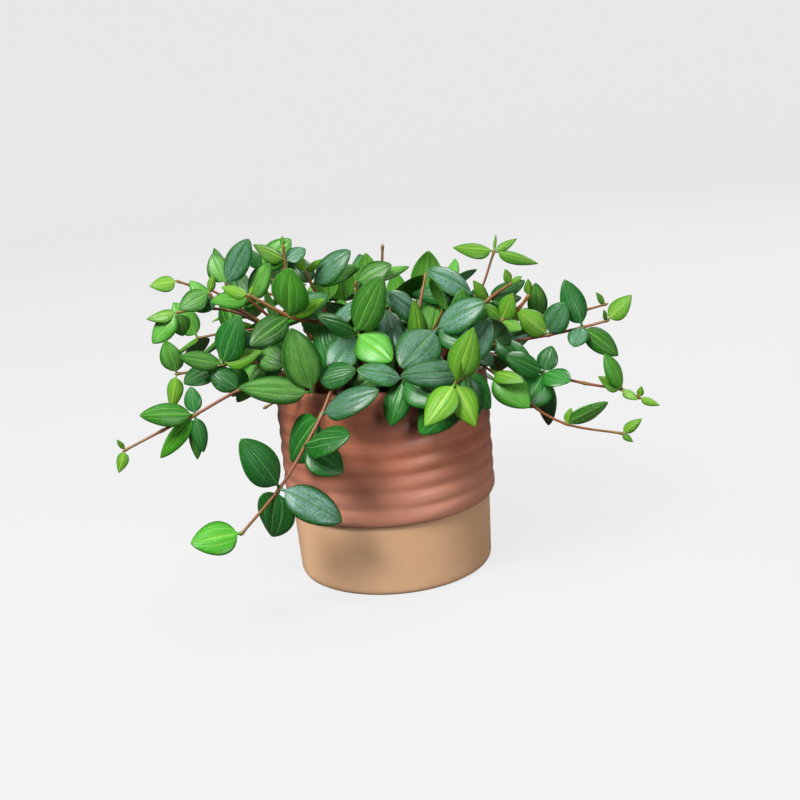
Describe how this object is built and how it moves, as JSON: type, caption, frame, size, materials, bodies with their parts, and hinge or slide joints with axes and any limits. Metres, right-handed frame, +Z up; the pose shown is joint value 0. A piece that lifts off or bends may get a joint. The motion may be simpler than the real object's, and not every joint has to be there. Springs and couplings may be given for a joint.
{
  "type": "potted trailing peperomia",
  "caption": "Bushy trailing peperomia houseplant in a round two-tone stoneware pot with throwing ribs; stands on a table or shelf.",
  "frame": {"origin": "centre of the pot's flat foot", "axes": "+Z up; -Y is the front of the plant, where the lowest trailing stem crosses the pot; +X is to the viewer's right"},
  "size_m": [0.2987, 0.2287, 0.202],
  "materials": {
    "pot": "satin",
    "soil": "matte",
    "foliage": "satin"
  },
  "bodies": {
    "root": {"pot": "pot", "soil": "soil", "stem_back_1": "foliage", "stem_back_10": "foliage", "stem_back_11": "foliage", "stem_back_2": "foliage", "stem_back_3": "foliage", "stem_back_4": "foliage", "stem_back_5": "foliage", "stem_back_6": "foliage", "stem_back_7": "foliage", "stem_back_8": "foliage", "stem_back_9": "foliage", "stem_crown_1": "foliage", "stem_crown_2": "foliage", "stem_crown_3": "foliage", "stem_crown_4": "foliage", "stem_crown_5": "foliage", "stem_crown_6": "foliage", "stem_cut_stem_back": "foliage", "stem_cut_stem_front": "foliage", "stem_cut_stub_left": "foliage", "stem_far_left": "foliage", "stem_far_left_low": "foliage", "stem_front_centre": "foliage", "stem_front_rim": "foliage", "stem_left_low": "foliage", "stem_left_mid": "foliage", "stem_rim_front_left": "foliage", "stem_rim_right_front": "foliage", "stem_runner_right_high": "foliage", "stem_runner_right_low": "foliage", "stem_runner_right_lowest": "foliage", "stem_shoot_front_right": "foliage", "stem_silver_centre": "foliage", "stem_thick_left": "foliage", "stem_thick_right_a": "foliage", "stem_thick_right_b": "foliage", "stem_thin_right_c": "foliage", "stem_top_centre": "foliage", "stem_top_middle": "foliage", "stem_trail_front_left": "foliage", "stem_trail_left": "foliage", "stem_twig_far_left": "foliage", "stem_twig_right_high": "foliage", "stem_under_1": "foliage", "stem_under_2": "foliage", "stem_under_3": "foliage", "stem_under_4": "foliage", "stem_upper_left": "foliage", "stem_upper_left_back": "foliage", "stem_upper_left_shoot": "foliage", "stem_upper_mid_left": "foliage"}
  },
  "joints": []
}
